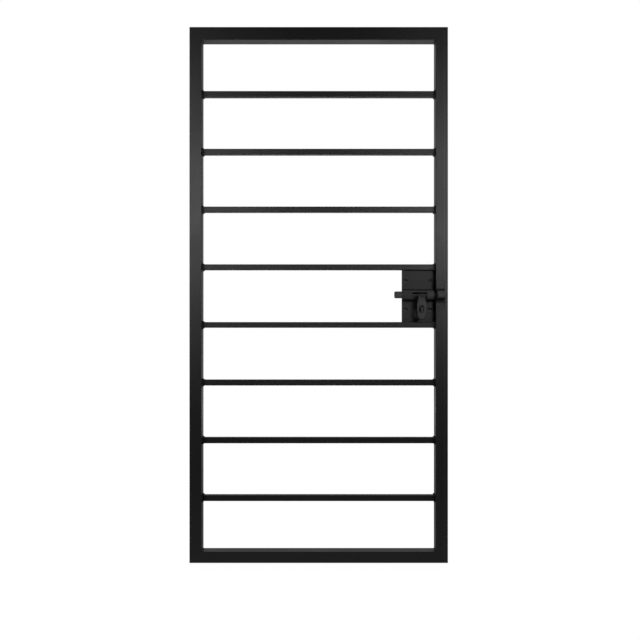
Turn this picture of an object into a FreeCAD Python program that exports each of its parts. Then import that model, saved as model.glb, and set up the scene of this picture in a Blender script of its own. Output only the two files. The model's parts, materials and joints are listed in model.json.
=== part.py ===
import FreeCAD, Part
import math
import os

# Steel security screen door: a mitred tube leaf with horizontal crossbars and a slide-bolt lock.
# Millimetres. x runs from the hinge side to the lock side, -y is the front, z is up.
# The origin is on the outer face of the hinge stile, at its foot and at mid-depth.

# Leaf frame
door_width = 980.0
door_height = 2032.0
frame_depth = 44.5          # front to back of all four frame tubes
stile_width = 46.0
top_rail_height = 48.5
bottom_rail_height = 42.5
frame_wall = 2.0
frame_corner = 2.0          # outside corner radius of the tubes
least_inside_corner = 0.4   # inside corner radius of a tube whose wall is as thick as its corner

# Crossbars, set at mid-depth of the frame
bar_count = 8
bar_tube = 22.0
bar_wall = 1.5
bar_corner = 2.2
bottom_gap = 189.0          # clear height between the bottom rail and the lowest crossbar
top_gap = 190.0             # clear height between the highest crossbar and the top rail

# Lock plate and the welded plate that it is screwed to
plate_width = 125.5
lock_plate_thickness = 4.0
mounting_plate_thickness = 3.0
plate_setback = 14.0        # front of the lock plate behind the front of the crossbars
plate_clearance = 0.5       # round the lock plate, so that it can be taken out
plate_corner = 7.0
screw_inset_left = 14.5     # screw centres from the plate's free edge
screw_inset_right = 17.5    # screw centres from the plate's edge at the stile
screw_spread = 110.0        # height between the upper and the lower screws
screw_hole = 8.4
screw_head = 15.6           # mouth of the countersink

# Slide bolt
bolt_diameter = 26.0
bolt_rise = 3.5             # bolt axis above the middle of the bay
bolt_stile_gap = 0.5        # between the bolt and the face of the stile
bolt_tail = 33.0            # bolt standing out past the free edge of the plate
bolt_tail_round = 4.0
bolt_tip_setback = 9.0      # bolt tip short of the outer face of the lock stile
bolt_tip_chamfer = 3.0
bolt_retract = 28.0         # travel away from the jamb
bolt_throw = 18.0           # travel towards the jamb
groove_back = 6.0           # inner edge of the bolt's groove behind the bolt axis
groove_margin = 0.5         # groove inside the edges of the barrel's slot, with the bolt at rest

# Barrel that guides the bolt, and its two feet
slide_clearance = 0.4       # round the bolt, in the barrel and the keeper
barrel_wall = 3.5
barrel_end_round = 3.0
barrel_overhang = 2.0       # barrel past the free edge of the plate
barrel_stile_gap = 7.5      # barrel end short of the stile
foot_width = 20.0
foot_height = 16.0
foot_inset = 5.0
foot_seat_gap = 0.1
slot_rise = 9.0             # upper edge of the barrel's slot above the bolt axis
slot_corner = 2.0
slot_end_clearance = 1.0
slot_side_clearance = 0.75

# Keeper strap on the lock stile
keeper_wall = 3.5
keeper_width = 35.0
keeper_overhang = 1.5       # keeper edge past the inner face of the stile
keeper_height = 106.0
keeper_bend = 3.0
keeper_edge_round = 2.5
keeper_screw_spread = 76.0
keeper_screw_hole = 6.0
keeper_screw_head = 10.6

# Hasp, hung on a pin from a tang in the bolt
hasp_set_in = 60.0          # middle of the hasp from the inner face of the lock stile
hasp_thickness = 6.0
hasp_neck = 25.0
hasp_width = 33.5
hasp_drop = 90.0            # lower end of the hasp below the bolt axis
hasp_belly_drop = 48.0      # widest place below the bolt axis
hasp_tip_radius = 13.5
hasp_neck_blend = 15.0      # hollow curve between the neck and the bowed sides
hasp_edge_round = 1.5
eye_width = 18.0
eye_height = 30.0
eye_drop = 54.6
knuckle_radius = 5.0
knuckle_drop = 1.5          # hinge axis below the bolt axis
hasp_gap = 3.6              # free space between the barrel and the knuckles
tang_width = 10.0
tang_thickness = 7.0
tang_depth = 8.5            # tang let into the bolt
side_play = 0.5             # beside the tang, and under the rivet heads
pin_diameter = 5.0
pin_press_gap = 0.05
pin_turn_gap = 0.35
rivet_head = 8.0
rivet_height = 1.3

# Staple for a padlock, behind the eye of the hasp
staple_bar = 8.0
staple_span = 20.0          # between the middles of its two legs
staple_offset = 4.0         # towards the stile from the middle of the hasp
staple_gap = 5.0            # between the staple and the back of the hasp

# Places that follow from the sizes above
half_depth = frame_depth / 2
stile_face = -half_depth
stile_inner = door_width - stile_width
bar_front = -bar_tube / 2
clear_height = door_height - bottom_rail_height - top_rail_height
bay_gap = (clear_height - bottom_gap - top_gap - bar_count * bar_tube) / (bar_count - 1)
bar_pitch = bay_gap + bar_tube
lowest_bar = bottom_rail_height + bottom_gap + bar_tube / 2
bar_heights = [lowest_bar + index * bar_pitch for index in range(bar_count)]
bay_bottom = bar_heights[bar_count // 2 - 1] + bar_tube / 2
bay_top = bay_bottom + bay_gap

plate_right = stile_inner
plate_left = plate_right - plate_width
plate_front = bar_front + plate_setback
plate_back = plate_front + lock_plate_thickness
mounting_back = plate_back + mounting_plate_thickness

bolt_radius = bolt_diameter / 2
bolt_z = (bay_bottom + bay_top) / 2 + bolt_rise
bolt_y = stile_face - bolt_stile_gap - bolt_radius
bolt_left = plate_left - bolt_tail
bolt_right = door_width - bolt_tip_setback
bore_radius = bolt_radius + slide_clearance
barrel_radius = bore_radius + barrel_wall
barrel_left = plate_left - barrel_overhang
barrel_right = stile_inner - barrel_stile_gap

hasp_x = stile_inner - hasp_set_in
hinge_y = bolt_y - barrel_radius - hasp_gap - knuckle_radius
hinge_z = bolt_z - knuckle_drop
hasp_back = hinge_y + hasp_thickness / 2
lug_inner = tang_width / 2 + side_play
lug_outer = hasp_neck / 2

slot_left = hasp_x - tang_width / 2 - bolt_retract - slot_end_clearance
slot_right = hasp_x + tang_width / 2 + bolt_throw + slot_end_clearance
slot_bottom = hinge_z - tang_thickness / 2 - slot_side_clearance
slot_top = bolt_z + slot_rise

screw_places = [
    (x, bolt_z + side * screw_spread / 2)
    for x in (plate_left + screw_inset_left, plate_right - screw_inset_right)
    for side in (-1, 1)
]

along_x = FreeCAD.Vector(1, 0, 0)
along_y = FreeCAD.Vector(0, 1, 0)
nearly_nought = 0.01        # a span or a distance below this is taken as none


def point(x, y, z):
    return FreeCAD.Vector(x, y, z)


def line(start, end):
    return Part.LineSegment(start, end).toShape()


def arc(start, middle, end):
    return Part.Arc(start, middle, end).toShape()


def face_of(edges):
    return Part.Face(Part.Wire(edges))


def block(x_low, x_high, y_low, y_high, z_low, z_high):
    return Part.makeBox(x_high - x_low, y_high - y_low, z_high - z_low, point(x_low, y_low, z_low))


def rounded_outline(place, width, height, radii):
    """Rectangle about the origin with one radius per corner, counted anticlockwise from the low corner."""
    wide = width / 2
    high = height / 2
    corners = [(-wide, -high), (wide, -high), (wide, high), (-wide, high)]
    steps = [(1, 0), (0, 1), (-1, 0), (0, -1)]
    edges = []
    for index, (u, v) in enumerate(corners):
        radius = radii[index]
        ahead = steps[index]
        behind = steps[index - 1]
        entry = (u - behind[0] * radius, v - behind[1] * radius)
        leave = (u + ahead[0] * radius, v + ahead[1] * radius)
        if radius > 0:
            centre = (entry[0] + ahead[0] * radius, entry[1] + ahead[1] * radius)
            reach = radius / math.hypot(u - centre[0], v - centre[1])
            middle = (centre[0] + (u - centre[0]) * reach, centre[1] + (v - centre[1]) * reach)
            edges.append(arc(place(*entry), place(*middle), place(*leave)))
        following = (index + 1) % 4
        end = (
            corners[following][0] - ahead[0] * radii[following],
            corners[following][1] - ahead[1] * radii[following],
        )
        edges.append(line(place(*leave), place(*end)))
    return face_of(edges)


def hollow_tube(length, depth, height, wall, corner):
    """Hollow tube along x from x = 0, on the plane z = 0 and at mid-depth in y."""
    def place(u, v):
        return point(0, u, v + height / 2)

    outside = rounded_outline(place, depth, height, [corner] * 4)
    inside_corner = max(corner - wall, least_inside_corner)
    inside = rounded_outline(place, depth - 2 * wall, height - 2 * wall, [inside_corner] * 4)
    return outside.cut(inside).extrude(along_x * length)


def mitred_tube(length, height, first_cut, last_cut):
    """Frame tube whose long outer face lies on z = 0, its inner face cut short by the mitre at both ends."""
    tube = hollow_tube(length, frame_depth, height, frame_wall, frame_corner)
    corners = [(0, 0), (length, 0), (length - last_cut, height), (first_cut, height)]
    points = [point(x, -half_depth, z) for x, z in corners]
    mitre = Part.Face(Part.makePolygon(points + points[:1])).extrude(along_y * frame_depth)
    return tube.common(mitre)


def frame_pieces():
    """Two rails and two stiles that meet in mitred corners."""
    upright = FreeCAD.Placement(point(0, 0, 0), FreeCAD.Rotation(point(1, 0, 1), 180))
    far_corner = FreeCAD.Placement(point(door_width, 0, door_height), FreeCAD.Rotation(along_y, 180))
    bottom = mitred_tube(door_width, bottom_rail_height, stile_width, stile_width)
    top = mitred_tube(door_width, top_rail_height, stile_width, stile_width)
    top.Placement = far_corner
    near_stile = mitred_tube(door_height, stile_width, bottom_rail_height, top_rail_height)
    near_stile.Placement = upright
    far_stile = mitred_tube(door_height, stile_width, top_rail_height, bottom_rail_height)
    far_stile.Placement = far_corner.multiply(upright)
    return {"bottom_rail": bottom, "top_rail": top, "hinge_stile": near_stile, "lock_stile": far_stile}


def crossbar(height):
    """Hollow bar between the stiles, centred on the given height."""
    bar = hollow_tube(stile_inner - stile_width, bar_tube, bar_tube, bar_wall, bar_corner)
    bar.translate(point(stile_width, 0, height - bar_tube / 2))
    return bar


def countersink(x, front, z, hole, head, depth):
    """Cutter for a screw hole through a plate from its front, with a mouth at 45 degrees."""
    mouth_depth = (head - hole) / 2
    drill = Part.makeCylinder(hole / 2, depth, point(x, front, z), along_y)
    mouth = Part.makeCone(head / 2, hole / 2, mouth_depth, point(x, front, z), along_y)
    return drill.fuse(mouth)


def lock_plate():
    """Front plate in the bay, free of the bars and the stile all round, with countersunk screw holes."""
    left = plate_left
    right = plate_right - plate_clearance
    bottom = bay_bottom + plate_clearance
    top = bay_top - plate_clearance

    def place(u, v):
        return point(u + (left + right) / 2, plate_front, v + (bottom + top) / 2)

    outline = rounded_outline(place, right - left, top - bottom, [plate_corner, 0, 0, plate_corner])
    plate = outline.extrude(along_y * lock_plate_thickness)
    for x, z in screw_places:
        plate = plate.cut(countersink(x, plate_front, z, screw_hole, screw_head, lock_plate_thickness))
    return plate


def mounting_plate():
    """Plate behind the lock plate, welded to the two bars and the stile, drilled for the same screws."""
    plate = block(plate_left, plate_right, plate_back, mounting_back, bay_bottom, bay_top)
    for x, z in screw_places:
        start = point(x, plate_back, z)
        plate = plate.cut(Part.makeCylinder(screw_hole / 2, mounting_plate_thickness, start, along_y))
    return plate


def bolt_barrel():
    """Pipe round the bolt with rounded outer rims, slotted in front for the tang."""
    length = barrel_right - barrel_left
    start = point(barrel_left, bolt_y, bolt_z)
    pipe = Part.makeCylinder(barrel_radius, length, start, along_x)
    rims = [edge for edge in pipe.Edges if edge.BoundBox.XLength < nearly_nought]
    pipe = pipe.makeFillet(barrel_end_round, rims)
    pipe = pipe.cut(Part.makeCylinder(bore_radius, length, start, along_x))

    def place(u, v):
        return point(u + (slot_left + slot_right) / 2, bolt_y, v + (slot_bottom + slot_top) / 2)

    slot = rounded_outline(place, slot_right - slot_left, slot_top - slot_bottom, [slot_corner] * 4)
    return pipe.cut(slot.extrude(along_y * -barrel_radius))


def barrel_foot(left):
    """Saddle block between the lock plate and the barrel."""
    bottom = bolt_z - foot_height / 2
    foot = block(left, left + foot_width, bolt_y, plate_front, bottom, bottom + foot_height)
    seat = Part.makeCylinder(barrel_radius + foot_seat_gap, foot_width, point(left, bolt_y, bolt_z), along_x)
    return foot.cut(seat)


def keeper_rims(strap):
    """Outer edges of the loop on both sides of the strap, in front of the flanges."""
    outer = bolt_radius + slide_clearance + keeper_wall
    loop_back = stile_face - keeper_wall - keeper_bend
    rims = []
    for edge in strap.Edges:
        box = edge.BoundBox
        flat = box.XLength < nearly_nought
        in_front = box.YMax < loop_back + nearly_nought
        outside = max(abs(box.ZMax - bolt_z), abs(box.ZMin - bolt_z)) > outer - nearly_nought
        if flat and in_front and outside:
            rims.append(edge)
    return rims


def keeper_strap():
    """Strap bent round the bolt, with a screwed flange above and below on the face of the stile."""
    inner = bolt_radius + slide_clearance
    outer = inner + keeper_wall
    bend_centre = outer + keeper_bend
    bend_front = keeper_wall + keeper_bend
    axis_front = stile_face - bolt_y
    slant = math.sqrt(0.5)
    left = stile_inner - keeper_overhang

    def place(front, height):
        return point(left, stile_face - front, bolt_z + height)

    def half(side):
        """Front and back edges of one flange and its bend, from the flange end to the straight leg."""
        end = side * keeper_height / 2
        turn = side * bend_centre
        front_middle = (bend_front - keeper_bend * slant, side * (bend_centre - keeper_bend * slant))
        back_middle = (bend_front - bend_front * slant, side * (bend_centre - bend_front * slant))
        return [
            line(place(0, end), place(keeper_wall, end)),
            line(place(keeper_wall, end), place(keeper_wall, turn)),
            arc(place(keeper_wall, turn), place(*front_middle), place(bend_front, side * outer)),
            line(place(bend_front, side * outer), place(axis_front, side * outer)),
            line(place(0, end), place(0, turn)),
            arc(place(0, turn), place(*back_middle), place(bend_front, side * inner)),
            line(place(bend_front, side * inner), place(axis_front, side * inner)),
        ]

    edges = half(1) + half(-1)
    for radius in (inner, outer):
        ends = (place(axis_front, radius), place(axis_front, -radius))
        edges.append(arc(ends[0], place(axis_front + radius, 0), ends[1]))
    profile = Part.Face(Part.Wire(Part.__sortEdges__(edges)))
    strap = profile.extrude(along_x * keeper_width)
    strap = strap.makeFillet(keeper_edge_round, keeper_rims(strap))
    for side in (-1, 1):
        x = left + keeper_width / 2
        z = bolt_z + side * keeper_screw_spread / 2
        front = stile_face - keeper_wall
        strap = strap.cut(countersink(x, front, z, keeper_screw_hole, keeper_screw_head, keeper_wall))
    return strap


def slide_bolt():
    """Round bolt with a rounded tail and a chamfered tip, mortised and grooved in front for the tang."""
    tail = bolt_tail_round
    slant = tail * (1 - math.sqrt(0.5))
    tip_start = bolt_right - bolt_tip_chamfer
    tip_radius = bolt_radius - bolt_tip_chamfer

    def place(x, radius):
        return point(x, bolt_y, bolt_z + radius)

    edges = [
        line(place(bolt_left, 0), place(bolt_left, bolt_radius - tail)),
        arc(
            place(bolt_left, bolt_radius - tail),
            place(bolt_left + slant, bolt_radius - slant),
            place(bolt_left + tail, bolt_radius),
        ),
        line(place(bolt_left + tail, bolt_radius), place(tip_start, bolt_radius)),
        line(place(tip_start, bolt_radius), place(bolt_right, tip_radius)),
        line(place(bolt_right, tip_radius), place(bolt_right, 0)),
        line(place(bolt_right, 0), place(bolt_left, 0)),
    ]
    bar = face_of(edges).revolve(place(0, 0), along_x, 360)
    return bar.cut(tang_block()).cut(groove_wedge())


def groove_wedge():
    """Cutter for the groove above the tang: a level floor under a roof that slopes down to the inner edge."""
    left = slot_left + groove_margin
    right = slot_right - groove_margin
    front = bolt_y - barrel_radius
    floor = hinge_z + tang_thickness / 2
    roof = slot_top - groove_margin
    roof_front = bolt_y - math.sqrt(bolt_radius ** 2 - (roof - bolt_z) ** 2)
    profile = [(front, floor), (front, roof), (roof_front, roof), (bolt_y + groove_back, floor)]
    corners = [point(left, y, z) for y, z in profile]
    return Part.Face(Part.makePolygon(corners + corners[:1])).extrude(along_x * (right - left))


def tang_block():
    """Flat bar from the mortise in the bolt to the hinge axis."""
    depth = bolt_y - bolt_radius + tang_depth
    half_width = tang_width / 2
    half_thick = tang_thickness / 2
    bottom = hinge_z - half_thick
    return block(hasp_x - half_width, hasp_x + half_width, hinge_y, depth, bottom, bottom + tang_thickness)


def hinge_cylinder(radius, start, end):
    """Cylinder on the hinge axis between two distances from the middle of the hasp."""
    return Part.makeCylinder(radius, end - start, point(hasp_x + start, hinge_y, hinge_z), along_x)


def hasp_tang():
    """Tang with the knuckle that carries the hasp's pin."""
    knuckle = hinge_cylinder(knuckle_radius, -tang_width / 2, tang_width / 2)
    bore = hinge_cylinder(pin_diameter / 2 + pin_press_gap, -tang_width / 2, tang_width / 2)
    return tang_block().fuse(knuckle).removeSplitter().cut(bore)


def hasp_pin():
    """Rivet through the knuckles, headed outside both lugs."""
    head_start = lug_outer + side_play
    pin = hinge_cylinder(pin_diameter / 2, -head_start, head_start)
    for start, end in ((-head_start - rivet_height, -head_start), (head_start, head_start + rivet_height)):
        pin = pin.fuse(hinge_cylinder(rivet_head / 2, start, end))
    return pin.removeSplitter()


def hasp_leaf():
    """Leaf in front view: a straight neck, sides bowed on one radius and a round lower end."""
    neck = hasp_neck / 2
    belly = hasp_width / 2
    belly_z = bolt_z - hasp_belly_drop
    tip_z = bolt_z - hasp_drop + hasp_tip_radius
    fall = belly_z - tip_z
    bow = (belly ** 2 + fall ** 2 - hasp_tip_radius ** 2) / (2 * (belly - hasp_tip_radius))
    bow_u = belly - bow
    reach = bow / math.hypot(bow_u, fall)
    join_u = bow_u * (1 - reach)
    join_z = belly_z - fall * reach
    neck_z = belly_z + math.sqrt(bow ** 2 - (neck - bow_u) ** 2)

    def place(u, z):
        return point(hasp_x + u, hasp_back - hasp_thickness, z)

    edges = [
        line(place(-neck, hinge_z), place(neck, hinge_z)),
        line(place(neck, hinge_z), place(neck, neck_z)),
        arc(place(neck, neck_z), place(belly, belly_z), place(join_u, join_z)),
        arc(place(join_u, join_z), place(0, bolt_z - hasp_drop), place(-join_u, join_z)),
        arc(place(-join_u, join_z), place(-belly, belly_z), place(-neck, neck_z)),
        line(place(-neck, neck_z), place(-neck, hinge_z)),
    ]
    leaf = face_of(edges).extrude(along_y * hasp_thickness)
    level = [edge for edge in leaf.Edges if edge.BoundBox.ZLength < nearly_nought]
    kinks = [edge for edge in level if abs(edge.BoundBox.ZMin - neck_z) < nearly_nought]
    return leaf.makeFillet(hasp_neck_blend, kinks)


def eye_outline():
    """Upright eye with round ends."""
    side = eye_width / 2
    straight = eye_height / 2 - side

    def place(u, v):
        return point(hasp_x + u, hasp_back - hasp_thickness, bolt_z - eye_drop + v)

    edges = [
        line(place(side, -straight), place(side, straight)),
        arc(place(side, straight), place(0, straight + side), place(-side, straight)),
        line(place(-side, straight), place(-side, -straight)),
        arc(place(-side, -straight), place(0, -straight - side), place(side, -straight)),
    ]
    return face_of(edges)


def hasp():
    """Drop leaf with an eye for a padlock, two lugs round the pin and softened edges."""
    leaf = hasp_leaf().cut(eye_outline().extrude(along_y * hasp_thickness))
    rims = [edge for edge in leaf.Edges if edge.BoundBox.YLength < nearly_nought]
    lower_rims = [edge for edge in rims if edge.BoundBox.ZMin < hinge_z - nearly_nought]
    leaf = leaf.makeFillet(hasp_edge_round, lower_rims)
    for start in (-lug_outer, lug_inner):
        leaf = leaf.fuse(hinge_cylinder(knuckle_radius, start, start + lug_outer - lug_inner))
    notch_reach = knuckle_radius + 2 * side_play
    notch = block(
        hasp_x - lug_inner,
        hasp_x + lug_inner,
        hinge_y - notch_reach,
        hinge_y + notch_reach,
        hinge_z - notch_reach,
        hinge_z + notch_reach,
    )
    bore = hinge_cylinder(pin_diameter / 2 + pin_turn_gap, -lug_outer, lug_outer)
    return leaf.cut(notch).cut(bore).removeSplitter()


def padlock_staple():
    """Round bar bent to a U, standing on the lock plate behind the eye of the hasp."""
    x = hasp_x + staple_offset
    z = bolt_z - eye_drop
    radius = staple_bar / 2
    bend = staple_span / 2
    bend_y = hasp_back + staple_gap + radius + bend
    ring = Part.makeTorus(bend, radius, point(x, bend_y, z), along_x)
    reach = bend + radius
    front_half = block(x - radius, x + radius, bend_y - reach, bend_y, z - reach, z + reach)
    staple = ring.common(front_half)
    leg = plate_front - bend_y
    for side in (-1, 1):
        staple = staple.fuse(Part.makeCylinder(radius, leg, point(x, bend_y, z + side * bend), along_y))
    return staple.removeSplitter()


def all_pieces():
    pieces = frame_pieces()
    for index, height in enumerate(bar_heights):
        pieces[f"crossbar_{index + 1}"] = crossbar(height)
    pieces["mounting_plate"] = mounting_plate()
    pieces["lock_plate"] = lock_plate()
    pieces["bolt_barrel"] = bolt_barrel()
    pieces["barrel_foot_left"] = barrel_foot(barrel_left + foot_inset)
    pieces["barrel_foot_right"] = barrel_foot(barrel_right - foot_inset - foot_width)
    pieces["keeper_strap"] = keeper_strap()
    pieces["padlock_staple"] = padlock_staple()
    pieces["slide_bolt"] = slide_bolt()
    pieces["hasp_tang"] = hasp_tang()
    pieces["hasp_pin"] = hasp_pin()
    pieces["hasp"] = hasp()
    return pieces


os.makedirs("parts", exist_ok=True)
for node, shape in all_pieces().items():
    shape.exportStep(f"parts/{node}.step")
    box = shape.BoundBox
    spans = [(box.XMin, box.XMax), (box.YMin, box.YMax), (box.ZMin, box.ZMax)]
    extent = "  ".join(f"{low:8.2f} {high:8.2f}" for low, high in spans)
    state = f"solids {len(shape.Solids)} valid {shape.isValid()} volume {shape.Volume:10.1f}"
    print(f"{node:18s} {state}  {extent}")
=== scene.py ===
import json
import math

import bpy
import numpy as np
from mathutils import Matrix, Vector


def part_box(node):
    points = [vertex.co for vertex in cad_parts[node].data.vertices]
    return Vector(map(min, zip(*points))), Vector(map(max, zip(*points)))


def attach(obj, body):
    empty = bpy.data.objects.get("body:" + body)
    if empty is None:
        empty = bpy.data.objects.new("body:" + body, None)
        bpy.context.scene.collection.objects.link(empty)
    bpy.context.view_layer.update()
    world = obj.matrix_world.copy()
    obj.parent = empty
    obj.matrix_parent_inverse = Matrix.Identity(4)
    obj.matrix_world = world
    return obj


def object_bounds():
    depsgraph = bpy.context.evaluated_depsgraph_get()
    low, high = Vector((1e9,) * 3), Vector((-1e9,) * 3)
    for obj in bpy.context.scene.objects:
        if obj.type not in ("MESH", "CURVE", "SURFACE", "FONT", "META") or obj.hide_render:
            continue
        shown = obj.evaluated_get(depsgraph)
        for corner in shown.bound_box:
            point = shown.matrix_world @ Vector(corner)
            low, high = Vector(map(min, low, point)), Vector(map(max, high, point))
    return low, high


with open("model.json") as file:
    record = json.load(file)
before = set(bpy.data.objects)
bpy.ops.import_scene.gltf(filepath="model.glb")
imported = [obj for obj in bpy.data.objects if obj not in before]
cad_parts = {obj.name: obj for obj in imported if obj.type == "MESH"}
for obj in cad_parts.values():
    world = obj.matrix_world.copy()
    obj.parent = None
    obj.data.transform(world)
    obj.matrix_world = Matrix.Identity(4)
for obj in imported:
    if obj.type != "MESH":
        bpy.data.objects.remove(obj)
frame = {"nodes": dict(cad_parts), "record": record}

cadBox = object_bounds()
mm = 0.001
toMm = 1000.0
fullTurn = 2.0 * math.pi
axisX, axisY, axisZ = np.eye(3)
xPart, yPart, zPart = range(3)  # which coordinate of a place
print("frame loaded:", len(frame["nodes"]), "nodes")


# A node's lowest and highest corners, in millimetres.
def boxMm(node):
    low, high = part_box(node)
    return np.array(low) * toMm, np.array(high) * toMm


# The middle of a node's box and half of its size each way.
def centreAndHalf(node):
    low, high = boxMm(node)
    return (low + high) / 2.0, (high - low) / 2.0


# Places in the frame that the marks in the paint and the new pieces are set from.
hingeLow, hingeHigh = boxMm("hinge_stile")
lockLow, lockHigh = boxMm("lock_stile")
barrelLow, barrelHigh = boxMm("bolt_barrel")
keeperLow, keeperHigh = boxMm("keeper_strap")
stapleLow, stapleHigh = boxMm("padlock_staple")
haspX = centreAndHalf("hasp")[0][0]
boltTip = next(mount["pos_m"] for mount in frame["record"]["mounts"] if mount["name"] == "bolt_tip")
boltY, boltZ = boltTip[1] * toMm, boltTip[2] * toMm  # the bolt's middle line


# Joins the points of a grid to their neighbours, wraps where a direction is a loop,
# and shuts the first and last rows with a face where the rows are not a loop.
def gridFaces(shape, loopRows):
    rows, cols = shape
    rowNow = np.arange(rows if loopRows else rows - 1)
    i, j = np.meshgrid(rowNow, np.arange(cols), indexing="ij")
    iNext = (i + 1) % rows
    jNext = (j + 1) % cols
    corners = [i * cols + j, iNext * cols + j, iNext * cols + jNext, i * cols + jNext]
    quads = np.stack(corners, axis=-1).reshape(-1, 4)
    if loopRows:
        return quads, []
    firstRow = np.arange(cols)
    lastRow = firstRow + (rows - 1) * cols
    return quads, [firstRow.tolist(), lastRow[::-1].tolist()]


# Six times the volume inside a grid: positive where its faces already point outwards.
def signedVolume(points, quads):
    a, b, c, d = (points[quads[:, k]] for k in range(4))
    first = np.einsum("ij,ij->i", a, np.cross(b, c))
    second = np.einsum("ij,ij->i", a, np.cross(c, d))
    return float(np.sum(first + second))


# One object from closed grids in millimetres; every grid is turned so that it faces outwards.
def surfaceObject(name, grids, loopRows, sharpAngle):
    allPoints = []
    allFaces = []
    offset = 0
    for grid in grids:
        points = grid.reshape(-1, 3)
        quads, caps = gridFaces(grid.shape[:2], loopRows)
        centred = points - points.mean(axis=0)
        if signedVolume(centred, quads) < 0.0:
            quads = quads[:, ::-1]
            caps = [cap[::-1] for cap in caps]
        allPoints.append(points * mm)
        allFaces += (quads + offset).tolist()
        allFaces += [[index + offset for index in cap] for cap in caps]
        offset += len(points)
    mesh = bpy.data.meshes.new(name)
    mesh.from_pydata(np.concatenate(allPoints).tolist(), [], allFaces)
    mesh.polygons.foreach_set("use_smooth", np.ones(len(mesh.polygons), dtype=bool))
    mesh.set_sharp_from_angle(angle=math.radians(sharpAngle))
    mesh.update()
    piece = bpy.data.objects.new(name, mesh)
    bpy.context.collection.objects.link(piece)
    return piece


def finishPiece(piece, body, material):
    piece.data.materials.append(material)
    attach(piece, body)


# Puts a plain number or colour on a socket, or links a node's output to it.
def feed(tree, value, socket):
    if isinstance(value, (int, float)):
        socket.default_value = value
    elif isinstance(value, tuple):
        socket.default_value = (*value, 1.0)
    else:
        tree.links.new(value, socket)


def mathNode(tree, operation, first, second=None):
    node = tree.nodes.new("ShaderNodeMath")
    node.operation = operation
    feed(tree, first, node.inputs[0])
    if second is not None:
        feed(tree, second, node.inputs[1])
    return node.outputs[0]


def productOf(tree, first, *others):
    for other in others:
        first = mathNode(tree, "MULTIPLY", first, other)
    return first


def splitNode(tree, vector):
    node = tree.nodes.new("ShaderNodeSeparateXYZ")
    tree.links.new(vector, node.inputs[0])
    return node.outputs


def vectorNode(tree, operation, *vectors):
    node = tree.nodes.new("ShaderNodeVectorMath")
    node.operation = operation
    for vector, socket in zip(vectors, node.inputs):
        tree.links.new(vector, socket)
    return node.outputs[0]


def noiseNode(tree, vector, scale, detail, roughness):
    node = tree.nodes.new("ShaderNodeTexNoise")
    labels = ("Vector", "Scale", "Detail", "Roughness")
    for label, value in zip(labels, (vector, scale, detail, roughness)):
        feed(tree, value, node.inputs[label])
    return node.outputs["Fac"]


# A smooth step: the value goes from one pair of ends to another.
def rangeNode(tree, value, fromEnds, toEnds=(0.0, 1.0)):
    node = tree.nodes.new("ShaderNodeMapRange")
    node.interpolation_type = "SMOOTHSTEP"
    labels = ("Value", "From Min", "From Max", "To Min", "To Max")
    for label, end in zip(labels, (value, *fromEnds, *toEnds)):
        feed(tree, end, node.inputs[label])
    return node.outputs["Result"]


mixFactor, mixFirst, mixSecond, mixResult = 0, 6, 7, 2  # colour sockets of a Mix node, by number


def mixColour(tree, factor, first, second):
    node = tree.nodes.new("ShaderNodeMix")
    node.data_type = "RGBA"
    for index, value in ((mixFactor, factor), (mixFirst, first), (mixSecond, second)):
        feed(tree, value, node.inputs[index])
    return node.outputs[mixResult]


# A node group with one output and named inputs, each a vector or a number as its first value is.
def newGroup(name, inputs, output):
    group = bpy.data.node_groups.new(name, "ShaderNodeTree")
    for label, value in inputs.items():
        kind = "NodeSocketVector" if isinstance(value, tuple) else "NodeSocketFloat"
        socket = group.interface.new_socket(name=label, in_out="INPUT", socket_type=kind)
        socket.default_value = value
    group.interface.new_socket(name=output, in_out="OUTPUT", socket_type="NodeSocketFloat")
    start = group.nodes.new("NodeGroupInput")
    end = group.nodes.new("NodeGroupOutput")
    return group, start.outputs, end.inputs[output]


def placeGroup(tree, group, links, values):
    node = tree.nodes.new("ShaderNodeGroup")
    node.node_tree = group
    for label, output in links.items():
        tree.links.new(output, node.inputs[label])
    for label, value in values.items():
        node.inputs[label].default_value = value
    return node.outputs[0]


noVector = (0.0, 0.0, 0.0)
peelEffect = {"fineDetail": 2.0, "fineRoughness": 0.45, "slowDetail": 1.0, "slowRoughness": 0.4}


# Orange peel of a baked paint: a fine noise for the skin and a slow one for the flow under it.
def makePeelGroup(effect):
    inputs = {"Vector": noVector, "Fine Scale": 420.0, "Slow Scale": 60.0, "Slow Share": 0.5}
    group, given, height = newGroup("peelHeight", inputs, "Height")
    fine = noiseNode(group, given["Vector"], given["Fine Scale"],
                     effect["fineDetail"], effect["fineRoughness"])
    slow = noiseNode(group, given["Vector"], given["Slow Scale"],
                     effect["slowDetail"], effect["slowRoughness"])
    slowPart = productOf(group, slow, given["Slow Share"])
    group.links.new(mathNode(group, "ADD", fine, slowPart), height)
    return group


edgeEffect = {"cornerRange": (0.12, 0.29), "patchDetail": 4.0, "patchRoughness": 0.6,
              "patchRange": (0.42, 0.68)}


# Thin paint on edges: one less the largest part of the normal is nought on flats and
# grows round a corner; a noise breaks it into patches.
def makeEdgeGroup(effect):
    inputs = {"Vector": noVector, "Normal": noVector, "Break Scale": 35.0}
    group, given, mask = newGroup("edgeThinning", inputs, "Mask")
    sizes = splitNode(group, vectorNode(group, "ABSOLUTE", given["Normal"]))
    larger = mathNode(group, "MAXIMUM", sizes[xPart], sizes[yPart])
    largest = mathNode(group, "MAXIMUM", larger, sizes[zPart])
    corner = mathNode(group, "SUBTRACT", 1.0, largest)
    cornerMask = rangeNode(group, corner, effect["cornerRange"])
    patches = noiseNode(group, given["Vector"], given["Break Scale"],
                        effect["patchDetail"], effect["patchRoughness"])
    patchMask = rangeNode(group, patches, effect["patchRange"])
    group.links.new(productOf(group, cornerMask, patchMask), mask)
    return group


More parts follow.
